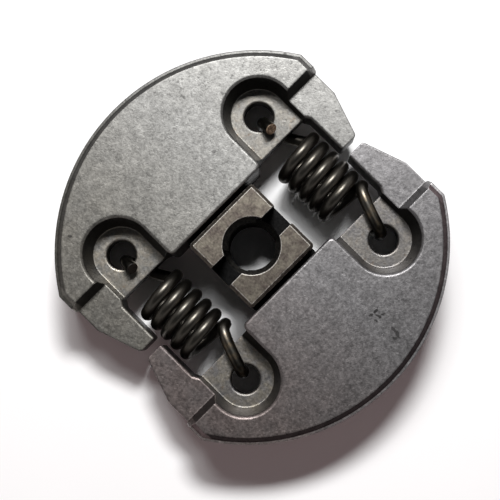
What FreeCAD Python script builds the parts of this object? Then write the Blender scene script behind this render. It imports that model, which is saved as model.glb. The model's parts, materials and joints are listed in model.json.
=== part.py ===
import FreeCAD
import Part
import math
import os

os.makedirs("parts", exist_ok=True)

V = FreeCAD.Vector

# All lengths in millimetres. Origin on the bore axis at the underside, Z up.
# The shoes slide apart along X, the two springs lie along X at plus and minus Y.

# Shoe blank
drum_radius = 28.0          # friction arc of a shoe, made for a 56 mm drum
shoe_travel = 0.95          # slide of each shoe from rest to the drum
thickness = 11.0            # shoe thickness along the axis
flat_half = 23.75           # the arc is cut flat here, half the width across Y
mid_z = thickness / 2.0

# Rim of the shoe: a narrow land outside, then a chamfer up to the face
rim_land = 0.35
rim_chamfer = 0.65
rim_drop = 0.6
edge_break = 0.25           # bevel on the inner edges of the faces

# Square hub and its two drive wings
hub_half = 6.15
hub_corner = 0.5
hub_chamfer = 0.45
bore_radius = 4.0
bore_mouth_top = 0.1
bore_mouth_bottom = 0.4
slot_width = 3.5
slot_depth = 4.5
wing_reach = 9.5            # wing end, and the seat of the shoes at rest
wing_half = 6.0
wing_height = 4.0
wing_bevel = 0.3
slide_clearance = 0.15      # play of a wing in its notch, at the sides and above

# Inner side of a shoe
face_gap = 0.7              # between the hub's side and a shoe's inner face
inner_x = hub_half + face_gap
nose_corner = 0.75

# Arms on both sides of the gap, thinner than the shoe
arm_drop = 2.4
arm_set = 0.3               # the arm's outer edge lies this far inside the shoe's flat
arm_width = 4.9
arm_taper = 2.15            # how much narrower the arm is at its tip
arm_slope_x = 7.0
arm_tip_x = 0.66
arm_corner_outer = 0.25
arm_corner_inner = 0.4
step_top_x = 11.7
step_foot_x = 10.8
arm_flat = flat_half - arm_set
arm_tip_y = arm_flat - arm_taper
bay_half = arm_flat - arm_width     # inner edge of the arms

# Springs, each beside the arms
wire_radius = 0.85
coil_radius = 3.45
coil_side_gap = 0.5         # between a coil and the arms beside it
spring_y = bay_half - coil_side_gap - coil_radius - wire_radius
coil_pitch = 1.95
coil_turns = 5
hook_angle = 25.0           # the hook leaves the coil this far past the last full turn
hook_bend = 1.2
hook_heading = 18.0         # the hook crosses the ledge at this angle to X
hook_clearance = 0.18       # air between the wire and the ledge
hook_side = 0.75            # offset of the right-hand hook from the spring's axis where it bends down
hook_side_left = 0.2        # the same for the left-hand hook, which was bent a little differently
hook_rise = 1.6             # how strongly the hook follows the coil at first
hook_run = 2.6              # and how straight it then runs to the hole
tip_start = 1.1             # the cut end starts to curl back this far below mid-height
tip_bend = 1.6
tip_turn = 50.0
tip_length = 1.5
wire_sides = 8
coil_steps = 18

# Spring seats: pockets from both faces leave a thin ledge with a hole in it
hole_x = 12.35
hole_radius = 2.05
hole_chamfer = 0.2
pocket_floor_radius = 4.0
pocket_draft = 1.0          # how much wider the pocket is at the face
ledge_thickness = 3.0
ledge_top = mid_z + ledge_thickness / 2.0
pocket_depth = thickness - ledge_top
bay_x = 7.7                 # inner end of the ledge
bay_cut_x = 0.9             # the bay's corners are cut off by this much along X
bay_cut_y = 0.55            # and by this much along Y
nose_half = spring_y - pocket_floor_radius - pocket_draft


def box(x0, x1, y0, y1, z0, z1):
    return Part.makeBox(x1 - x0, y1 - y0, z1 - z0, V(x0, y0, z0))


def prism_x(points_yz, x0, x1):
    """Extrude a closed outline in the YZ plane along X."""
    pts = [V(x0, y, z) for y, z in points_yz]
    face = Part.Face(Part.makePolygon(pts + [pts[0]]))
    return face.extrude(V(x1 - x0, 0, 0))


def prism_y(points_xz, y0, y1):
    """Extrude a closed outline in the XZ plane along Y."""
    pts = [V(x, y0, z) for x, z in points_xz]
    face = Part.Face(Part.makePolygon(pts + [pts[0]]))
    return face.extrude(V(0, y1 - y0, 0))


def prism_z(points_xy, z0, z1):
    """Extrude a closed outline in the XY plane along Z."""
    pts = [V(x, y, z0) for x, y in points_xy]
    face = Part.Face(Part.makePolygon(pts + [pts[0]]))
    return face.extrude(V(0, 0, z1 - z0))


def mirror_z(shape):
    """The same cutter from the underside."""
    return shape.mirror(V(0, 0, mid_z), V(0, 0, 1))


def mirror_y(shape):
    return shape.mirror(V(0, 0, 0), V(0, 1, 0))


def four(shape):
    """One cutter for each spring seat of a shoe, from both faces."""
    both = [shape, mirror_z(shape)]
    return both + [mirror_y(s) for s in both]


def two_level(shape):
    return [shape, mirror_y(shape)]


def rim_profile(half):
    """Half of a section through the blank, out to half, with land and chamfer."""
    top = thickness
    return [
        (half - rim_land - rim_chamfer, 0.0),
        (half - rim_land, rim_drop),
        (half, rim_drop),
        (half, top - rim_drop),
        (half - rim_land, top - rim_drop),
        (half - rim_land - rim_chamfer, top),
    ]


def shoe_blank():
    """Round blank with its centre on the arc centre at rest, cut flat at both ends."""
    pts = [V(0, 0, 0)]
    pts += [V(r, 0, z) for r, z in rim_profile(drum_radius)]
    pts += [V(0, 0, thickness)]
    face = Part.Face(Part.makePolygon(pts + [pts[0]]))
    disc = face.revolve(V(0, 0, 0), V(0, 0, 1), 360)
    disc.translate(V(-shoe_travel, 0, 0))
    right = rim_profile(flat_half)
    left = [(-y, z) for y, z in reversed(right)]
    return disc.common(prism_x(right + left, arm_tip_x, drum_radius + 1))


def pocket_cutter():
    """Drafted pocket from the top face down to the ledge, open towards the bay."""
    slope = pocket_draft / pocket_depth
    above = 1.0
    low = pocket_floor_radius
    high = low + pocket_draft + above * slope
    cone = Part.makeCone(low, high, pocket_depth + above, V(hole_x, spring_y, ledge_top))
    z0 = ledge_top
    z1 = thickness + above
    sides = [
        (spring_y - low, z0),
        (spring_y + low, z0),
        (spring_y + high, z1),
        (spring_y - high, z1),
    ]
    return cone.fuse(prism_x(sides, bay_x - 0.5, hole_x))


def pocket_bevel():
    """The broken edge round the mouth of a pocket."""
    slope = pocket_draft / pocket_depth
    above = 0.5
    low = pocket_floor_radius + pocket_draft - edge_break * slope
    high = low + (edge_break + above) * (1.0 + slope)
    z0 = thickness - edge_break
    z1 = thickness + above
    cone = Part.makeCone(low, high, edge_break + above, V(hole_x, spring_y, z0))
    sides = [
        (spring_y - low, z0),
        (spring_y + low, z0),
        (spring_y + high, z1),
        (spring_y - high, z1),
    ]
    return cone.fuse(prism_x(sides, bay_x - 0.5, hole_x))


def arm_relief():
    """Takes the arm down to its lower level, with a sloping wall at the step."""
    z0 = thickness - arm_drop
    slope = (step_top_x - step_foot_x) / arm_drop
    above = 1.0
    pts = [
        (arm_tip_x - 2.0, z0),
        (step_foot_x, z0),
        (step_top_x + above * slope, thickness + above),
        (arm_tip_x - 2.0, thickness + above),
    ]
    return prism_y(pts, spring_y, flat_half + 2.0)


def arm_outline_cut():
    """Sloping outer edge of an arm, and its slightly lower flat."""
    far = flat_half + 2.0
    pts = [
        (arm_tip_x - 2.0, far),
        (arm_tip_x - 2.0, arm_tip_y),
        (arm_tip_x, arm_tip_y),
        (arm_slope_x, arm_flat),
        (step_foot_x, arm_flat),
        (step_top_x, far),
    ]
    return prism_z(pts, -1.0, thickness + 1.0)


def arm_tip_round(corner_y, side, r):
    """Rounds one corner of the arm's end. side is +1 for the outer corner, -1 for the inner one."""
    y0 = corner_y - side * r
    low = min(y0, corner_y + side * 0.5)
    high = max(y0, corner_y + side * 0.5)
    block = box(arm_tip_x - 0.5, arm_tip_x + r, low, high, -1.0, thickness + 1.0)
    return block.cut(Part.makeCylinder(r, thickness + 2.0, V(arm_tip_x + r, y0, -1.0)))


def bay_edge(grow):
    """Outer half of the bay's outline with its corner cut off, larger by grow on every side."""
    size = math.hypot(bay_cut_x, bay_cut_y)
    nx = bay_cut_y / size
    ny = bay_cut_x / size
    xa = bay_x - bay_cut_x + grow * (1.0 - ny) / nx
    yb = bay_half - bay_cut_y + grow * (1.0 - nx) / ny
    far = arm_tip_x - 2.0
    return [(far, bay_half + grow), (xa, bay_half + grow), (bay_x + grow, yb)]


def bay_window():
    """The bay between the two shoes, open from face to face."""
    upper = bay_edge(0.0)
    lower = [(x, -y) for x, y in reversed(upper)]
    return prism_z(upper + lower, -1.0, thickness + 1.0)


def arm_bevel():
    """Broken edge along the inner side of an arm and round the bay's corner."""
    z0 = thickness - arm_drop
    loops = []
    for grow, z in ((0.0, z0 - edge_break), (2.0 * edge_break, z0 + edge_break)):
        outline = bay_edge(grow)
        outline += [(outline[-1][0], spring_y), (outline[0][0], spring_y)]
        pts = [V(x, y, z) for x, y in outline]
        loops.append(Part.makePolygon(pts + [pts[0]]))
    return Part.makeLoft(loops, True, True)


def hole_cutter():
    """Spring hole through the ledge with a small chamfer on top."""
    hole = Part.makeCylinder(hole_radius, thickness + 2.0, V(hole_x, spring_y, -1.0))
    mouth = Part.makeCone(
        hole_radius,
        hole_radius + hole_chamfer + 0.1,
        hole_chamfer + 0.1,
        V(hole_x, spring_y, ledge_top - hole_chamfer),
    )
    return hole.fuse(mouth)


def nose():
    """Middle block that faces the hub, with rounded corners and broken edges."""
    x1 = hole_x
    block = box(inner_x, x1, -nose_half, nose_half, 0.0, thickness)
    corners = []
    for e in block.Edges:
        upright = abs(e.Vertexes[0].Z - e.Vertexes[1].Z) > 1.0
        if upright and abs(e.CenterOfMass.x - inner_x) < 0.01:
            corners.append(e)
    block = block.makeFillet(nose_corner, corners)
    rims = []
    for e in block.Edges:
        c = e.CenterOfMass
        level = abs(c.z) < 0.01 or abs(c.z - thickness) < 0.01
        if level and c.x < x1 - 0.01:
            rims.append(e)
    return block.makeChamfer(edge_break, rims)


def make_shoe():
    """Right-hand shoe at rest."""
    body = shoe_blank()
    cutters = [bay_window()]
    cutters += four(pocket_cutter())
    cutters += four(pocket_bevel())
    cutters += four(arm_relief())
    cutters += two_level(arm_outline_cut())
    cutters += four(arm_bevel())
    cutters += four(hole_cutter())
    cutters += two_level(arm_tip_round(arm_tip_y, 1, arm_corner_outer))
    cutters += two_level(arm_tip_round(bay_half, -1, arm_corner_inner))
    for c in cutters:
        body = body.cut(c)
    body = body.fuse(nose())
    notch = box(
        inner_x - 1.0,
        wing_reach,
        -wing_half - slide_clearance,
        wing_half + slide_clearance,
        -1.0,
        wing_height + slide_clearance,
    )
    body = body.cut(notch).removeSplitter()
    return body.Solids[0]


def make_hub():
    """Square hub with a wing to each side at the bottom, bored and slotted."""
    boss = box(-hub_half, hub_half, -hub_half, hub_half, 0.0, thickness)
    upright = [e for e in boss.Edges if abs(e.Vertexes[0].Z - e.Vertexes[1].Z) > 1.0]
    boss = boss.makeFillet(hub_corner, upright)
    top = [e for e in boss.Edges if abs(e.CenterOfMass.z - thickness) < 0.01]
    boss = boss.makeChamfer(hub_chamfer, top)
    wing = box(-wing_reach, wing_reach, -wing_half, wing_half, 0.0, wing_height)
    ends = []
    for e in wing.Edges:
        c = e.CenterOfMass
        if abs(abs(c.y) - wing_half) < 0.01 and abs(abs(c.x) - wing_reach) < 0.01:
            ends.append(e)
    wing = wing.makeChamfer(wing_bevel, ends)
    hub = boss.fuse(wing)
    bore = Part.makeCylinder(bore_radius, thickness + 2.0, V(0, 0, -1.0))
    top_mouth = Part.makeCone(
        bore_radius,
        bore_radius + bore_mouth_top + 0.1,
        bore_mouth_top + 0.1,
        V(0, 0, thickness - bore_mouth_top),
    )
    low_mouth = Part.makeCone(
        bore_radius + bore_mouth_bottom + 0.1,
        bore_radius,
        bore_mouth_bottom + 0.1,
        V(0, 0, -0.1),
    )
    slot = box(
        -slot_width / 2.0,
        slot_width / 2.0,
        -hub_half - 1.0,
        hub_half + 1.0,
        thickness - slot_depth,
        thickness + 1.0,
    )
    hub = hub.cut(bore).cut(top_mouth).cut(low_mouth).cut(slot).removeSplitter()
    return hub.Solids[0]


def arc_points(p0, t0, toward, radius, turn, steps):
    """Points along an arc from p0 along t0 that bends towards a unit vector, p0 left out."""
    centre = p0 + toward * radius
    points = []
    for k in range(1, steps + 1):
        a = math.radians(turn) * k / steps
        points.append(centre - toward * (radius * math.cos(a)) + t0 * (radius * math.sin(a)))
    a = math.radians(turn)
    return points, t0 * math.cos(a) + toward * math.sin(a)


def bezier_points(poles, steps):
    """Points along a cubic curve, its first point left out."""
    a, b, c, d = poles
    points = []
    for k in range(1, steps + 1):
        t = k / steps
        s = 1.0 - t
        points.append(a * s ** 3 + b * (3 * s * s * t) + c * (3 * s * t * t) + d * t ** 3)
    return points


def coil_point(degrees):
    """Centre of the wire on the coil. Zero degrees is the middle of the spring's length."""
    a = math.radians(degrees)
    phase = a + math.pi * coil_turns
    return V(
        coil_pitch * a / (2.0 * math.pi),
        coil_radius * math.cos(phase),
        coil_radius * math.sin(phase),
    )


def hook_points(offset):
    """Centre line of a right-hand hook, from the end of the coil to the cut end."""
    last = 180.0 * coil_turns + hook_angle
    p0 = coil_point(last)
    t0 = (coil_point(last + 0.1) - coil_point(last - 0.1)).normalize()
    head = math.radians(hook_heading)
    t2 = V(math.cos(head), -math.sin(head), 0)
    wire_z = ledge_thickness / 2.0 + wire_radius + hook_clearance
    # the upright part stands in the hole, clear of its wall on the coil side
    hole_play = hole_radius - wire_radius - hook_clearance
    side = offset - hook_bend * math.sin(head)
    upright_x = hole_x - math.sqrt(hole_play ** 2 - side ** 2)
    p2 = V(upright_x - hook_bend * math.cos(head), offset, wire_z)
    poles = [p0, p0 + t0 * hook_rise, p2 - t2 * hook_run, p2]
    points = bezier_points(poles, 9)
    bend, t3 = arc_points(p2, t2, V(0, 0, -1), hook_bend, 90.0, 5)
    points += bend
    points.append(points[-1] + t3 * (wire_z - hook_bend + tip_start))
    curl, t5 = arc_points(points[-1], t3, V(-1, 0, 0), tip_bend, tip_turn, 4)
    points += curl
    points.append(points[-1] + t5 * tip_length)
    return points


def wire_solid(points):
    """Wire of even thickness along straight runs with mitred joints, eight-sided to stay light."""
    runs = []
    for p, q in zip(points, points[1:]):
        runs.append((q - p).normalize())
    # vertex radius that gives the section the area of the round wire
    corner = wire_radius * math.sqrt(2.0 * math.pi / (wire_sides * math.sin(2.0 * math.pi / wire_sides)))
    u = runs[0].cross(V(0, 1, 0)).normalize()
    w = runs[0].cross(u)
    ring = []
    for k in range(wire_sides):
        a = 2.0 * math.pi * (k + 0.5) / wire_sides
        ring.append(points[0] + u * (corner * math.cos(a)) + w * (corner * math.sin(a)))
    rings = [ring]
    for k in range(1, len(points)):
        cut = runs[k - 1]
        if k < len(runs):
            cut = runs[k - 1] + runs[k]
        ring = []
        for p in rings[-1]:
            along = (points[k] - p).dot(cut) / runs[k - 1].dot(cut)
            ring.append(p + runs[k - 1] * along)
        rings.append(ring)
    faces = []
    for near, far in zip(rings, rings[1:]):
        for k in range(wire_sides):
            m = (k + 1) % wire_sides
            loop = [near[k], near[m], far[m], far[k], near[k]]
            faces.append(Part.Face(Part.makePolygon(loop)))
    for ring in (rings[0], rings[-1]):
        faces.append(Part.Face(Part.makePolygon(ring + [ring[0]])))
    shell = Part.makeShell(faces)
    shell.sewShape()
    solid = Part.Solid(shell)
    if solid.Volume < 0:
        solid.reverse()
    return solid


def make_spring():
    """Tension spring with a hook at each end, centred on the origin along X."""
    right = hook_points(hook_side)
    # the left hook is made the same way and turned half a turn about Y
    left = [V(-p.x, p.y, -p.z) for p in reversed(hook_points(hook_side_left))]
    last = 180.0 * coil_turns + hook_angle
    steps = round(2.0 * last / 360.0 * coil_steps)
    coil = [coil_point(last * (2.0 * k / steps - 1.0)) for k in range(steps + 1)]
    return wire_solid(left + coil + right)


right_shoe = make_shoe()
left_shoe = right_shoe.copy()
left_shoe.rotate(V(0, 0, 0), V(0, 0, 1), 180)
hub = make_hub()
spring = make_spring()
rear_spring = spring.copy()
rear_spring.translate(V(0, spring_y, mid_z))
front_spring = spring.copy()
front_spring.translate(V(0, -spring_y, mid_z))

hub.exportStep("parts/clutch_hub.step")
left_shoe.exportStep("parts/left_shoe.step")
right_shoe.exportStep("parts/right_shoe.step")
rear_spring.exportStep("parts/rear_spring.step")
front_spring.exportStep("parts/front_spring.step")
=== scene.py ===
import bpy
import json
import math
from mathutils import Matrix, Vector

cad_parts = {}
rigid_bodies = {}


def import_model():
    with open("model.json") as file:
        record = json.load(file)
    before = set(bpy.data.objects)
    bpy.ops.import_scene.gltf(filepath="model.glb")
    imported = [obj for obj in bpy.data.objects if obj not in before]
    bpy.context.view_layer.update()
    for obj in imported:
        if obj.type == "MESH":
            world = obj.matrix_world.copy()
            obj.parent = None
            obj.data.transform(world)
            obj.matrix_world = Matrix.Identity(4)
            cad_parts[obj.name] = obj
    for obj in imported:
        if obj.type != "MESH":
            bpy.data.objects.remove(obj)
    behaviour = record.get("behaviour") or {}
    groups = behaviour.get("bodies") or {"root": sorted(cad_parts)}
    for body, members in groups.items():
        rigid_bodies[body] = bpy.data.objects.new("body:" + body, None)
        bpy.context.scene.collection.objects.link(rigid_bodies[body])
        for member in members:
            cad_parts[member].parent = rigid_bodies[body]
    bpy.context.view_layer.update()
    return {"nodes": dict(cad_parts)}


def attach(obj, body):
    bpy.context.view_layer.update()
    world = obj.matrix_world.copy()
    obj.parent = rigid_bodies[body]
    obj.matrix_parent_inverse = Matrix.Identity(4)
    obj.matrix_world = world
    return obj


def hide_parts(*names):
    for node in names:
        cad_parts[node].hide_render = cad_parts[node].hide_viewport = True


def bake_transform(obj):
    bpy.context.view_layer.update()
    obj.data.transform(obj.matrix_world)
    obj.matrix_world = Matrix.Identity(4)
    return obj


for old in list(bpy.data.objects):
    bpy.data.objects.remove(old)

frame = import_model()
scene = bpy.context.scene

MM = 0.001                       # one millimetre in metres

# Sizes that follow the solids, in millimetres and degrees
MID_Z = 5.5                      # half the thickness
LEDGE_HALF = 1.5                 # half the thickness of the ledges that hold the hooks
CHAMFER_REACH = (26.75, 26.95)   # inner edge of the rim's chamfer, from the centre of the arc
CHAMFER_Y = (22.55, 22.75)       # the same on the flats
LAND_REACH = (27.52, 27.64)      # inner edge of the land outside the chamfer
LAND_Y = (23.27, 23.39)          # the same on the flats
BORE_EDGE = (3.99, 4.04)
SLOT_EDGE = (1.74, 1.80)
SLOT_HALF = 1.75
SLOT_FLOOR = 6.5

WIRE_RADIUS = 0.85
WIRE_SIDES = 20
COIL_RADIUS = 3.45
COIL_PITCH = 1.95
COIL_TURNS = 5
COIL_END = 925.0                 # the hook leaves the coil here, counted from its middle
COIL_STEPS = 130
SPRING_Y = 13.75
HOOK_HEADING = 18.0              # the hook crosses the ledge at this angle to X
HOOK_Z = 2.53                    # height of the hook above the axis of the coil
HOOK_RISE = 1.6                  # how strongly the hook follows the coil at first
HOOK_RUN = 2.6                   # and how straight it then runs to the hole
HOOK_STEPS = 24
HOOK_BEND = 1.2                  # radius of the bend down into the hole
HOOK_SIDE = {"right": 0.75, "left": 0.2}  # offset from the axis of the coil at that bend
HOLE_X = 12.35
HOLE_REACH = 1.02                # from the middle of the hole to the wire in it
UPRIGHT = 2.43                   # straight length down through the hole
TIP_BEND = 1.6
TIP_TURN = 50.0
TIP_LENGTH = 1.4
TIP_BEVEL = ((0.05, 0.02), (0.10, 0.09))  # ahead along the wire, inwards

THREAD_PITCH = 1.25
THREAD_CREST = 3.32
THREAD_ROOT = 4.02
THREAD_Z = (0.5, 10.4)
THREAD_STEPS = 40                # per turn
THREAD_FADE = 14.0               # steps over which the ridge rises at its two ends
THREAD_PROFILE = ((THREAD_ROOT, -0.54), (THREAD_CREST, -0.10),
                  (THREAD_CREST, 0.10), (THREAD_ROOT, 0.54))

# Colours
TAN_FILM = (0.206, 0.187, 0.157, 1.0)
RUST = (0.140, 0.090, 0.052, 1.0)
# red of the chamfer: a painted reflection of warm surroundings
RIM_RED_REFLECTION = (0.210, 0.140, 0.145, 1.0)
MARK = (0.045, 0.043, 0.042, 1.0)
HUB_BROWN = (0.118, 0.098, 0.086, 1.0)
HUB_TAN = (0.170, 0.152, 0.124, 1.0)
HUB_SIDE = (0.060, 0.056, 0.050, 1.0)
# painted shade for the bore, the slot and the wings
RECESS_SHADE_BLACK = (0.010, 0.010, 0.010, 1.0)
# rub and painted highlight on the hub's upper edges
HUB_EDGE_RUB_AND_HIGHLIGHT = (0.720, 0.690, 0.640, 1.0)
# painted shade for the thread in the bore
THREAD_SHADE_BLACK = (0.008, 0.008, 0.008, 1.0)
THREAD_SHADE_GREY = (0.030, 0.028, 0.025, 1.0)
WIRE_DARK = (0.092, 0.086, 0.075, 1.0)
WIRE_BRONZE = (0.180, 0.140, 0.094, 1.0)
CUT_BROWN = (0.060, 0.034, 0.020, 1.0)
CUT_TAN = (0.330, 0.240, 0.165, 1.0)
FLOOR_GREY = (0.955, 0.955, 0.955, 1.0)
FLOOR_WHITE = (0.985, 0.985, 0.985, 1.0)
SKY_TOP = (0.030, 0.030, 0.031, 1.0)
SKY_LOW = (0.110, 0.105, 0.105, 1.0)
SKY_WARM = (0.62, 0.44, 0.44, 1.0)
SKY_RING = (0.50, 0.49, 0.49, 1.0)


# Node helpers

def new_material(name):
    mat = bpy.data.materials.new(name)
    mat.use_nodes = True
    mat.node_tree.nodes.clear()
    return mat, mat.node_tree


def put(tree, socket, value):
    """Link an input to a node's output, or set it to a constant."""
    if isinstance(value, bpy.types.NodeSocket):
        tree.links.new(value, socket)
    else:
        socket.default_value = value


def node(tree, kind, inputs=None, **settings):
    n = tree.nodes.new(kind)
    for key, value in settings.items():
        setattr(n, key, value)
    for key, value in (inputs or {}).items():
        put(tree, n.inputs[key], value)
    return n


def calc(tree, operation, *values):
    n = node(tree, "ShaderNodeMath", operation=operation)
    for socket, value in zip(n.inputs, values):
        put(tree, socket, value)
    return n.outputs[0]


def times(tree, a, b):
    return calc(tree, "MULTIPLY", a, b)


def plus(tree, a, b):
    return calc(tree, "ADD", a, b)


def minus(tree, a, b):
    return calc(tree, "SUBTRACT", a, b)


def either(tree, a, b):
    return calc(tree, "MAXIMUM", a, b)


def absolute(tree, a):
    return calc(tree, "ABSOLUTE", a)


def inverse(tree, mask):
    return minus(tree, 1.0, mask)


def hypot(tree, x, y):
    return calc(tree, "SQRT", plus(tree, times(tree, x, x), times(tree, y, y)))


def raised(tree, base, mask, amount):
    """base plus amount where the mask is 1."""
    return calc(tree, "MULTIPLY_ADD", mask, amount, base)


def varied(tree, base, texture, amount):
    """base made more or less by a texture that swings about 0.5."""
    return raised(tree, base, minus(tree, texture, 0.5), amount)


def vec(tree, operation, a, b):
    n = node(tree, "ShaderNodeVectorMath", {0: a, 1: b}, operation=operation)
    return n.outputs["Value" if operation == "DOT_PRODUCT" else "Vector"]


def gain(tree, vector, factor):
    """A colour or a position times one number."""
    n = node(tree, "ShaderNodeVectorMath", {0: vector, "Scale": factor}, operation="SCALE")
    return n.outputs["Vector"]


def span(tree, value, a, b, c, d, smooth=False):
    """c where value is a, d where it is b, between them a ramp and beyond them level."""
    n = node(tree, "ShaderNodeMapRange",
             {"Value": value, "From Min": a, "From Max": b, "To Min": c, "To Max": d},
             interpolation_type="SMOOTHSTEP" if smooth else "LINEAR", clamp=True)
    return n.outputs["Result"]


def above(tree, value, a, b, smooth=False):
    return span(tree, value, a, b, 0.0, 1.0, smooth)


def below(tree, value, a, b, smooth=False):
    return span(tree, value, a, b, 1.0, 0.0, smooth)


def noise(tree, at, scale, detail, rough, distort=0.0):
    n = node(tree, "ShaderNodeTexNoise", {"Vector": at, "Scale": scale, "Detail": detail,
                                          "Roughness": rough, "Distortion": distort})
    return n.outputs["Fac"]


def mix(tree, factor, a, b):
    """Colour between a and b."""
    n = node(tree, "ShaderNodeMix", {0: factor, 6: a, 7: b}, data_type="RGBA", clamp_factor=True)
    return n.outputs[2]


def lerp(tree, factor, a, b):
    """Number between a and b."""
    n = node(tree, "ShaderNodeMix", {0: factor, 2: a, 3: b}, data_type="FLOAT", clamp_factor=True)
    return n.outputs[0]


def shaded(tree, tone, mask, factor):
    """tone times factor where the mask is 1."""
    return times(tree, tone, lerp(tree, mask, 1.0, factor))


def place(tree):
    """Position on the piece at rest, in millimetres, and its three parts."""
    at = node(tree, "ShaderNodeTexCoord").outputs["Object"]
    at = gain(tree, at, 1.0 / MM)
    parts = node(tree, "ShaderNodeSeparateXYZ", {"Vector": at})
    return at, parts.outputs["X"], parts.outputs["Y"], parts.outputs["Z"]


def facing(tree):
    """How far the surface faces up or down: 1 on the level faces, 0 on the walls."""
    normal = node(tree, "ShaderNodeNewGeometry").outputs["Normal"]
    z = node(tree, "ShaderNodeSeparateXYZ", {"Vector": normal}).outputs["Z"]
    return absolute(tree, z), normal


def worn_edge(tree, normal, radius):
    """Softened normal near an edge, and how strongly it differs from the plain one."""
    soft = node(tree, "ShaderNodeBevel", {"Radius": radius * MM}, samples=6).outputs["Normal"]
    return soft, inverse(tree, vec(tree, "DOT_PRODUCT", soft, normal))


def spot(tree, x, y, cx, cy, long, wide, angle, wobble):
    """Small mark on a level face: 1 inside a ragged ellipse."""
    a = math.radians(angle)
    dx = minus(tree, x, cx)
    dy = minus(tree, y, cy)
    u = raised(tree, times(tree, dy, math.sin(a) / long), dx, math.cos(a) / long)
    v = raised(tree, times(tree, dx, -math.sin(a) / wide), dy, math.cos(a) / wide)
    ragged = times(tree, minus(tree, wobble, 0.5), 1.6)
    return below(tree, plus(tree, hypot(tree, u, v), ragged), 0.7, 1.15, smooth=True)


def output(tree, shader):
    node(tree, "ShaderNodeOutputMaterial", {"Surface": shader.outputs[0]})


def metal_surface(tree, colour, rough, height, strength, depth, normal=None, metallic=1.0):
    """Shader and output of a metal with a fine bump, depth millimetres deep."""
    inputs = {"Strength": strength, "Distance": depth * MM, "Height": height}
    if normal is not None:
        inputs["Normal"] = normal
    bump = node(tree, "ShaderNodeBump", inputs).outputs["Normal"]
    output(tree, node(tree, "ShaderNodeBsdfPrincipled", {
        "Base Color": colour, "Metallic": metallic, "Roughness": rough, "Normal": bump}))


# Materials

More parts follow.
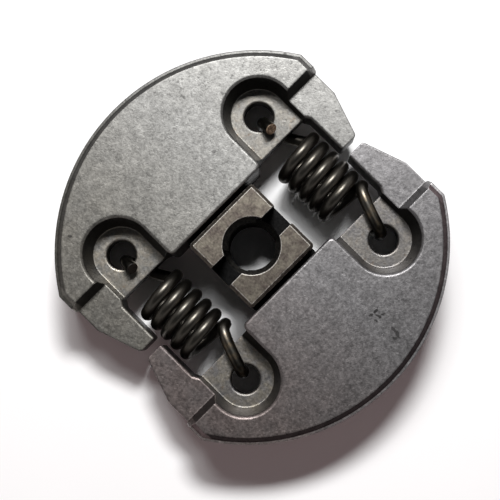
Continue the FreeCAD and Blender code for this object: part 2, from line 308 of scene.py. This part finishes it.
def sintered(name, marks, warm, cool, brown_mottle, arc_x, rim_shade_front, rim_shade_rear, rim_red_reflection, land_light_and_shade,
             gap_light):
    """Pressed and sintered iron, tumbled: fine speckle, burnished flecks, open pores, a brown
    tint.

    warm, cool and stain are colours: two of the bare metal and one brown tint towards the front.
    arc_x is where the centre of the shoe's round side lies on X.
    rim_shade_front, rim_shade_rear and land_light_and_shade are brightnesses of the chamfer and
    the land outside it:
    painted shade on the chamfer, painted light and shade on the land.
    rim_red_reflection says how far the chamfer is reddened as a painted reflection, and lift how
    much lighter the shoe is painted, as painted light.
    """
    mat, t = new_material(name)
    at, x, y, z = place(t)
    level, normal = facing(t)
    soft, turn = worn_edge(t, normal, 0.32)
    off_x, off_y = absolute(t, x), absolute(t, y)
    off_mid = absolute(t, minus(t, z, MID_Z))

    grain = noise(t, at, scale=2.6, detail=3.0, rough=0.62)
    fine = noise(t, at, scale=6.5, detail=2.0, rough=0.6)
    cloud = noise(t, at, scale=0.22, detail=3.0, rough=0.55)
    patch = noise(t, at, scale=0.80, detail=4.0, rough=0.62)
    swirl = noise(t, at, scale=1.5, detail=3.0, rough=0.55, distort=1.2)
    fleck = below(t, absolute(t, minus(t, swirl, 0.5)), 0.0, 0.035)
    fleck_area = noise(t, at, scale=0.9, detail=3.0, rough=0.6)
    fleck = times(t, fleck, above(t, fleck_area, 0.50, 0.68, smooth=True))
    pore = below(t, noise(t, at, scale=1.7, detail=2.0, rough=0.5), 0.30, 0.37, smooth=True)

    # brightness of the bare metal
    tone = varied(t, 0.96, grain, 0.85)
    tone = varied(t, tone, fine, 0.80)
    tone = varied(t, tone, patch, 0.95)
    tone = varied(t, tone, cloud, 0.35)
    tone = raised(t, tone, fleck, 0.70)
    tone = shaded(t, tone, pore, 0.78)
    # painted light: a little lighter all over, most of all on the faces towards the gap
    by_gap = times(t, below(t, off_x, 6.0, 19.0), below(t, off_y, 9.0, 15.0))
    by_gap = times(t, by_gap, above(t, off_mid, 4.0, 5.0))
    tone = times(t, tone, raised(t, 1.0 + gap_light, by_gap, 3.0 * gap_light))
    metal = mix(t, cloud, warm, cool)

    # tan film on the ledges in the pockets, with a few rust specks
    ledge = inverse(t, above(t, absolute(t, minus(t, off_mid, LEDGE_HALF)), 0.15, 0.5))
    film = times(t, ledge, above(t, patch, 0.30, 0.62))
    film = times(t, film, span(t, y, -10.0, 10.0, 0.95, 0.60))
    metal = mix(t, film, metal, TAN_FILM)
    # painted light and shade: the ledges lighter towards the front and darker towards the rear
    tone = shaded(t, tone, ledge, span(t, y, -14.0, 14.0, 1.22, 0.93))
    speck = above(t, noise(t, at, scale=1.1, detail=4.0, rough=0.6), 0.60, 0.72)
    metal = mix(t, times(t, times(t, ledge, speck), 0.55), metal, RUST)

    # faint brown tint, strongest towards the front, none on the ledges
    tint = times(t, below(t, y, -16.0, 4.0), span(t, cloud, 0.30, 0.60, 0.65, 1.0))
    metal = mix(t, times(t, tint, inverse(t, ledge)), metal, brown_mottle)

    # painted shade: the inner walls are coloured dark; the drum wears the outer one grey with
    # faint lines
    wall = below(t, level, 0.42, 0.65)
    reach = hypot(t, minus(t, x, arc_x), y)
    flat = above(t, off_y, *CHAMFER_Y)
    near_rim = either(t, above(t, reach, *CHAMFER_REACH), flat)
    drum = times(t, near_rim, wall)
    lines = noise(t, vec(t, "MULTIPLY", at, (0.12, 0.12, 3.2)), scale=1.0, detail=4.0, rough=0.65)
    worn = varied(t, 0.80, lines, 0.9)
    tone = shaded(t, tone, wall, lerp(t, near_rim, 0.17, worn))

    # painted shade: dark chamfer round the rim, reddened on the right shoe as a painted reflection
    # of warm surroundings; painted light and shade on the land outside it
    rim = times(t, near_rim, below(t, level, 0.80, 0.95))
    rim = times(t, rim, inverse(t, wall))
    rim_shade = lerp(t, flat, span(t, y, 6.0, 20.0, rim_shade_front, rim_shade_rear), 0.7)
    tone = shaded(t, tone, rim, rim_shade)
    metal = mix(t, times(t, rim, rim_red_reflection), metal, RIM_RED_REFLECTION)
    outside = either(t, above(t, reach, *LAND_REACH), above(t, off_y, *LAND_Y))
    land = times(t, outside, above(t, level, 0.80, 0.95))
    tone = shaded(t, tone, land, land_light_and_shade)

    # edges are rubbed bright, which also paints the highlight they catch
    rub_and_highlight = times(t, above(t, turn, 0.01, 0.16), above(t, grain, 0.34, 0.60))
    tone = raised(t, tone, rub_and_highlight, 0.45)
    colour = gain(t, metal, tone)

    # dark marks on the level faces
    on_face = above(t, level, 0.9, 0.98)
    spots = [times(t, times(t, spot(t, x, y, *shape, grain), depth), on_face)
             for *shape, depth in marks]
    dark = spots[0]
    for other in spots[1:]:
        dark = either(t, dark, other)
    colour = mix(t, dark, colour, MARK)

    rough = varied(t, 0.41, grain, 0.20)
    rough = minus(t, rough, times(t, fleck, 0.06))
    rough = plus(t, rough, times(t, pore, 0.15))
    rough = minus(t, rough, times(t, drum, 0.06))
    height = raised(t, grain, fine, 0.5)
    height = raised(t, height, patch, 0.6)
    height = raised(t, height, pore, -0.3)
    metal_surface(t, colour, rough, height, strength=0.32, depth=0.045, normal=soft)
    return mat


def hub_steel():
    """Ground face with tan stains; the bore, slot and wings are painted near black as shade."""
    mat, t = new_material("hub_ground_steel")
    at, x, y, z = place(t)
    level, normal = facing(t)
    soft, turn = worn_edge(t, normal, 0.15)
    grain = noise(t, at, scale=3.2, detail=3.0, rough=0.6)
    brown_mottle = noise(t, at, scale=0.85, detail=5.0, rough=0.66, distort=0.4)
    lay = noise(t, vec(t, "MULTIPLY", at, (0.6, 9.0, 1.0)), scale=0.9, detail=2.0, rough=0.5)
    tone = varied(t, 1.0, grain, 1.5)
    tone = varied(t, tone, lay, 0.35)
    tone = varied(t, tone, brown_mottle, 0.9)
    # painted shade: darker towards +X
    tone = times(t, tone, span(t, x, -2.0, 4.0, 1.0, 0.84))
    metal = mix(t, above(t, brown_mottle, 0.35, 0.65), HUB_BROWN, HUB_TAN)
    metal = mix(t, below(t, level, 0.25, 0.75), metal, HUB_SIDE)

    # painted shade: the bore, the slot and the tops of the wings are coloured near black
    bore = below(t, hypot(t, x, y), *BORE_EDGE)
    slot = times(t, below(t, absolute(t, x), *SLOT_EDGE), below(t, z, 10.9, 10.98))
    wing = times(t, below(t, z, 4.2, 4.6), above(t, level, 0.5, 0.9))
    wing = times(t, wing, above(t, z, 3.6, 3.9))
    shaded_recess = either(t, either(t, bore, slot), wing)
    metal = mix(t, shaded_recess, metal, RECESS_SHADE_BLACK)
    colour = gain(t, metal, tone)

    # the upper edges are rubbed bright, with a painted highlight as well
    rub_and_highlight = times(t, above(t, turn, 0.006, 0.05), above(t, grain, 0.30, 0.52))
    rub_and_highlight = times(t, rub_and_highlight, above(t, z, 9.9, 10.2))
    rub_and_highlight = times(t, rub_and_highlight, inverse(t, shaded_recess))
    colour = mix(t, rub_and_highlight, colour, HUB_EDGE_RUB_AND_HIGHLIGHT)
    rough = varied(t, 0.45, grain, 0.18)
    height = raised(t, grain, lay, 0.7)
    metal_surface(t, colour, rough, height, strength=0.3, depth=0.03, normal=soft,
                  metallic=span(t, rub_and_highlight, 0.0, 1.0, 1.0, 0.35))
    return mat


def thread_steel():
    """Thread coloured near black, as painted shade in the bore."""
    mat, t = new_material("thread_painted_shade")
    at = place(t)[0]
    grain = noise(t, at, scale=3.0, detail=3.0, rough=0.6)
    colour = mix(t, above(t, grain, 0.35, 0.7), THREAD_SHADE_BLACK, THREAD_SHADE_GREY)
    rough = span(t, grain, 0.3, 0.7, 0.34, 0.5)
    metal_surface(t, colour, rough, grain, strength=0.2, depth=0.02)
    return mat


def spring_wire():
    """Dark oil-tempered wire with drawing lines, bronze where the right-hand hooks are rubbed."""
    mat, t = new_material("spring_dark_wire")
    at, x, _, z = place(t)
    uv = node(t, "ShaderNodeUVMap", uv_map="wire").outputs["UV"]
    drawn = noise(t, vec(t, "MULTIPLY", uv, (14.0, 0.35, 1.0)), scale=2.2, detail=3.0, rough=0.6)
    blotch = noise(t, at, scale=0.9, detail=3.0, rough=0.6)
    grain = noise(t, at, scale=4.5, detail=2.0, rough=0.6)
    hook = times(t, above(t, x, 5.4, 6.8), above(t, z, 6.5, 7.5))
    rubbed = times(t, above(t, blotch, 0.42, 0.66), raised(t, 0.1, hook, 0.85))
    colour = mix(t, rubbed, WIRE_DARK, WIRE_BRONZE)
    tone = varied(t, 1.0, drawn, 0.8)
    tone = varied(t, tone, grain, 0.5)
    # painted shade: darker towards the holes
    tone = times(t, tone, span(t, absolute(t, x), 8.6, 9.9, 1.0, 0.30))
    colour = gain(t, colour, tone)
    rough = varied(t, 0.36, drawn, 0.16)
    height = raised(t, drawn, grain, 0.6)
    metal_surface(t, colour, rough, height, strength=0.15, depth=0.02)
    return mat


def cut_wire():
    """Sheared end of the wire, with a brown film, painted nearly black as shade at the front
    spring.
    """
    mat, t = new_material("spring_cut_end")
    at, _, y, _ = place(t)
    grain = noise(t, at, scale=3.5, detail=4.0, rough=0.65)
    colour = mix(t, above(t, grain, 0.40, 0.62), CUT_BROWN, CUT_TAN)
    # painted shade: nearly black at the front spring
    colour = gain(t, colour, span(t, y, -5.0, 5.0, 0.06, 1.0))
    rough = span(t, grain, 0.3, 0.7, 0.60, 0.40)
    metal_surface(t, colour, rough, grain, strength=0.4, depth=0.05, metallic=0.35)
    return mat


# marks on the faces: centre x, y, half length, half width in mm, angle, depth of colour
right_marks = [
    (18.35, 4.75, 0.46, 0.19, 80.0, 0.85),
    (18.40, 5.65, 0.54, 0.19, 95.0, 0.90),
    (19.15, 5.40, 0.56, 0.18, 20.0, 0.85),
    (19.45, 6.02, 0.38, 0.17, 75.0, 0.80),
    (19.35, 4.70, 0.36, 0.16, 15.0, 0.75),
    (21.95, 5.50, 0.56, 0.24, 5.0, 0.80),
    (22.75, 5.45, 0.62, 0.26, -20.0, 0.75),
    (22.90, 4.85, 0.42, 0.24, 40.0, 0.70),
]
left_marks = [
    (-12.85, 5.55, 0.45, 0.22, 40.0, 0.50),
    (-18.75, -16.75, 0.26, 0.20, 30.0, 0.75),
]
left_iron = sintered(
    "sintered_iron_left", left_marks,
    warm=(0.216, 0.212, 0.202, 1.0), cool=(0.200, 0.198, 0.191, 1.0),
    brown_mottle=(0.196, 0.186, 0.166, 1.0), arc_x=0.95,
    rim_shade_front=0.36, rim_shade_rear=0.36, rim_red_reflection=0.0, land_light_and_shade=0.58, gap_light=0.09)
right_iron = sintered(
    "sintered_iron_right", right_marks,
    warm=(0.214, 0.207, 0.207, 1.0), cool=(0.200, 0.194, 0.198, 1.0),
    brown_mottle=(0.198, 0.166, 0.158, 1.0), arc_x=-0.95,
    rim_shade_front=0.16, rim_shade_rear=0.42, rim_red_reflection=0.6, land_light_and_shade=1.60, gap_light=0.045)
steel = hub_steel()
thread_mat = thread_steel()
wire_mat = spring_wire()
end_mat = cut_wire()

for name, mat in (("left_shoe", left_iron), ("right_shoe", right_iron), ("clutch_hub", steel)):
    for slot in frame["nodes"][name].material_slots:
        slot.material = mat


# Springs: round wire along the same centre line as the solids

def coil_point(degrees):
    a = math.radians(degrees)
    phase = a + COIL_TURNS * math.pi
    return Vector((COIL_PITCH * a / (2.0 * math.pi),
                   COIL_RADIUS * math.cos(phase), COIL_RADIUS * math.sin(phase)))


def straight(start, along, length, steps):
    return [start + along * (length * k / steps) for k in range(1, steps + 1)]


def bend(start, along, toward, radius, turn, steps):
    """Points of an arc that turns from along to toward, and the direction at its end."""
    centre = start + toward * radius
    points = []
    for k in range(1, steps + 1):
        a = math.radians(turn) * k / steps
        points.append(centre - toward * (radius * math.cos(a)) + along * (radius * math.sin(a)))
    a = math.radians(turn)
    return points, along * math.cos(a) + toward * math.sin(a)


def half_line(offset):
    """Centre line from the middle of the coil to the cut end of a right-hand hook."""
    points = [coil_point(COIL_END * k / COIL_STEPS) for k in range(COIL_STEPS + 1)]
    leave = points[-1]
    leave_along = (coil_point(COIL_END + 0.1) - coil_point(COIL_END - 0.1)).normalized()
    heading = math.radians(HOOK_HEADING)
    cross_along = Vector((math.cos(heading), -math.sin(heading), 0.0))
    side = offset - HOOK_BEND * math.sin(heading)
    upright_x = HOLE_X - math.sqrt(HOLE_REACH ** 2 - side ** 2)
    arrive = Vector((upright_x - HOOK_BEND * math.cos(heading), offset, HOOK_Z))
    b = leave + leave_along * HOOK_RISE
    c = arrive - cross_along * HOOK_RUN
    for k in range(1, HOOK_STEPS + 1):
        u = k / HOOK_STEPS
        v = 1.0 - u
        points.append(leave * v ** 3 + b * (3 * v * v * u) + c * (3 * v * u * u)
                      + arrive * u ** 3)
    arc, down = bend(arrive, cross_along, Vector((0, 0, -1)), HOOK_BEND, 90.0, 12)
    points += arc
    points += straight(points[-1], down, UPRIGHT, 4)
    arc, tip = bend(points[-1], down, Vector((-1, 0, 0)), TIP_BEND, TIP_TURN, 9)
    points += arc
    points += straight(points[-1], tip, TIP_LENGTH, 2)
    return points


def tube(name, points):
    """Closed round wire along points, with a small bevel at its far end."""
    rings = []
    length = 0.0
    u = Vector((0, -1, 0))
    last = len(points) - 1
    for k, p in enumerate(points):
        tangent = (points[min(k + 1, last)] - points[max(k - 1, 0)]).normalized()
        if k:
            length += (p - points[k - 1]).length
        u = (u - tangent * u.dot(tangent)).normalized()
        w = tangent.cross(u)
        rings.append((p, u.copy(), w, WIRE_RADIUS, length))
    p, u, w, _, length = rings[-1]
    tangent = u.cross(w)
    for ahead, inwards in TIP_BEVEL:
        rings.append((p + tangent * ahead, u, w, WIRE_RADIUS - inwards, length + ahead))

    sides = WIRE_SIDES
    verts, faces, uvs = [], [], []
    for p, u, w, r, _ in rings:
        for k in range(sides):
            a = 2.0 * math.pi * k / sides
            verts.append((p + u * (r * math.cos(a)) + w * (r * math.sin(a))) * MM)
    for i in range(len(rings) - 1):
        here, there = i * sides, (i + 1) * sides
        l0, l1 = rings[i][-1], rings[i + 1][-1]
        for k in range(sides):
            m = (k + 1) % sides
            faces.append((here + k, here + m, there + m, there + k))
            a0, a1 = k / sides, (k + 1) / sides
            uvs += [(a0, l0), (a1, l0), (a1, l1), (a0, l1)]
    start_cap = len(faces)
    end_cap = start_cap + 1
    end_ring = (len(rings) - 1) * sides
    faces.append(tuple(reversed(range(sides))))
    faces.append(tuple(end_ring + k for k in range(sides)))
    uvs += [(0.0, 0.0)] * (2 * sides)

    mesh = bpy.data.meshes.new(name)
    mesh.from_pydata(verts, [], faces)
    layer = mesh.uv_layers.new(name="wire")
    for k, c in enumerate(uvs):
        layer.data[k].uv = c
    bevel = start_cap - len(TIP_BEVEL) * sides
    for k, poly in enumerate(mesh.polygons):
        poly.use_smooth = k < start_cap
        poly.material_index = 1 if k == end_cap or bevel <= k < start_cap else 0
    piece = bpy.data.objects.new(name, mesh)
    scene.collection.objects.link(piece)
    return piece


for spring, sign in (("rear_spring", 1.0), ("front_spring", -1.0)):
    centre = Vector((0.0, sign * SPRING_Y, MID_Z)) * MM
    for body, turn in (("right", 0.0), ("left", math.pi)):
        half = tube(spring + "_" + body, half_line(HOOK_SIDE[body]))
        half.data.materials.append(wire_mat)
        half.data.materials.append(end_mat)
        half.data.transform(Matrix.Translation(centre) @ Matrix.Rotation(turn, 4, "Y"))
        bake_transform(half)
        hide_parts(spring)


# Thread in the bore: a helical ridge, broken where the slot cuts the wall

def thread_runs():
    """Cross-sections of the ridge, one list for each unbroken run."""
    z0, z1 = THREAD_Z
    total = int((z1 - z0) / THREAD_PITCH * THREAD_STEPS)
    runs = [[]]
    for k in range(total + 1):
        a = 2.0 * math.pi * k / THREAD_STEPS
        z = z0 + THREAD_PITCH * k / THREAD_STEPS
        c, s = math.cos(a), math.sin(a)
        if z > SLOT_FLOOR - 0.55 and abs(THREAD_ROOT * c) < SLOT_HALF + 0.25:
            runs.append([])
            continue
        fade = min(1.0, k / THREAD_FADE, (total - k) / THREAD_FADE)
        ring = []
        for r, h in THREAD_PROFILE:
            r = THREAD_ROOT - (THREAD_ROOT - r) * fade
            ring.append(Vector((r * c, r * s, z + h * (0.3 + 0.7 * fade))) * MM)
        runs[-1].append(ring)
    return [run for run in runs if len(run) > 1]


def thread_ridge():
    verts, faces = [], []
    corners = len(THREAD_PROFILE)
    for run in thread_runs():
        base = len(verts)
        for ring in run:
            verts += ring
        end = base + corners * (len(run) - 1)
        for here in range(base, end, corners):
            there = here + corners
            for k in range(corners):
                m = (k + 1) % corners
                faces.append((here + k, here + m, there + m, there + k))
        faces.append(tuple(base + k for k in reversed(range(corners))))
        faces.append(tuple(end + k for k in range(corners)))
    mesh = bpy.data.meshes.new("bore_thread")
    mesh.from_pydata(verts, [], faces)
    mesh.materials.append(thread_mat)
    piece = bpy.data.objects.new("bore_thread", mesh)
    scene.collection.objects.link(piece)
    return piece


thread = thread_ridge()
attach(thread, "hub")


# Floor, light and camera

def floor():
    """Plain pale floor just below the part."""
    mat, t = new_material("pale_floor")
    at = node(t, "ShaderNodeTexCoord").outputs["Object"]
    soft = noise(t, at, scale=40.0, detail=2.0, rough=0.5)
    colour = mix(t, soft, FLOOR_GREY, FLOOR_WHITE)
    output(t, node(t, "ShaderNodeBsdfDiffuse", {"Color": colour}))
    size = 3.0
    corners = [(-size, -size, 0), (size, -size, 0), (size, size, 0), (-size, size, 0)]
    mesh = bpy.data.meshes.new("floor")
    mesh.from_pydata(corners, [], [(0, 1, 2, 3)])
    mesh.materials.append(mat)
    piece = bpy.data.objects.new("floor", mesh)
    piece.location.z = -0.02 * MM
    scene.collection.objects.link(piece)


def studio():
    """Dim surroundings with a warm band on one side. Metal mirrors a pale ring instead."""
    world = bpy.data.worlds.new("studio")
    scene.world = world
    world.use_nodes = True
    t = world.node_tree
    t.nodes.clear()
    direction = node(t, "ShaderNodeTexCoord").outputs["Generated"]
    up = node(t, "ShaderNodeSeparateXYZ", {"Vector": direction}).outputs["Z"]
    dim = mix(t, below(t, up, 0.10, 0.60, smooth=True), SKY_TOP, SKY_LOW)
    near = vec(t, "DOT_PRODUCT", direction, (0.70, -0.71, 0.0))
    near = above(t, near, 0.0, 0.85, smooth=True)
    band = times(t, above(t, up, 0.15, 0.40, smooth=True), below(t, up, 0.60, 0.85, smooth=True))
    fill = mix(t, times(t, band, near), dim, SKY_WARM)
    # the pale backdrop low down all round, dim overhead
    ring = times(t, above(t, up, 0.12, 0.30, smooth=True), below(t, up, 0.45, 0.72, smooth=True))
    mirrored = mix(t, ring, dim, SKY_RING)
    glossy = node(t, "ShaderNodeLightPath").outputs["Is Glossy Ray"]
    sky = mix(t, glossy, fill, mirrored)
    background = node(t, "ShaderNodeBackground", {"Color": sky, "Strength": 1.0})
    node(t, "ShaderNodeOutputWorld", {"Surface": background.outputs[0]})


def lamp(name, azimuth, zenith, distance, wide, high, energy):
    """Oval lamp aimed at the part. azimuth is counted from +Y towards -X, angles in degrees."""
    a, z = math.radians(azimuth), math.radians(zenith)
    aim = Vector((-math.sin(a) * math.sin(z), math.cos(a) * math.sin(z), math.cos(z)))
    across = Vector((0.0, 0.0, 1.0)).cross(aim).normalized()
    data = bpy.data.lights.new(name, "AREA")
    data.shape = "ELLIPSE"
    data.size = wide
    data.size_y = high
    data.energy = energy
    piece = bpy.data.objects.new(name, data)
    turned = Matrix((across, aim.cross(across), aim)).transposed().to_4x4()
    piece.matrix_world = Matrix.Translation(aim * distance) @ turned
    piece.visible_camera = False
    scene.collection.objects.link(piece)


def photo_camera():
    """Camera at the photograph's view. Its focal length is in pixels of a 500 pixel wide frame."""
    focal, frame_width, sensor = 1303.4, 500.0, 36.0
    camera = bpy.data.cameras.new("photo_view")
    camera.sensor_fit = "HORIZONTAL"
    camera.sensor_width = sensor
    camera.lens = focal / frame_width * sensor
    camera.clip_start = 0.005
    camera.clip_end = 20.0
    view = bpy.data.objects.new("photo_view", camera)
    right = Vector((0.70870, 0.70509, -0.02430))
    upward = Vector((-0.70314, 0.70873, 0.05741))
    back = right.cross(upward).normalized()
    upward = back.cross(right).normalized()
    right.normalize()
    turned = Matrix((right, upward, back)).transposed().to_4x4()
    view.matrix_world = Matrix.Translation(Vector((10.63, -4.82, 190.03)) * MM) @ turned
    scene.collection.objects.link(view)
    scene.camera = view


floor()
studio()
lamp("key", azimuth=39.0, zenith=33.5, distance=0.42, wide=0.13, high=0.075, energy=1.84)
lamp("side", azimuth=66.0, zenith=33.0, distance=0.40, wide=0.10, high=0.075, energy=0.34)
photo_camera()

scene.view_settings.view_transform = "Standard"

bpy.context.view_layer.update()
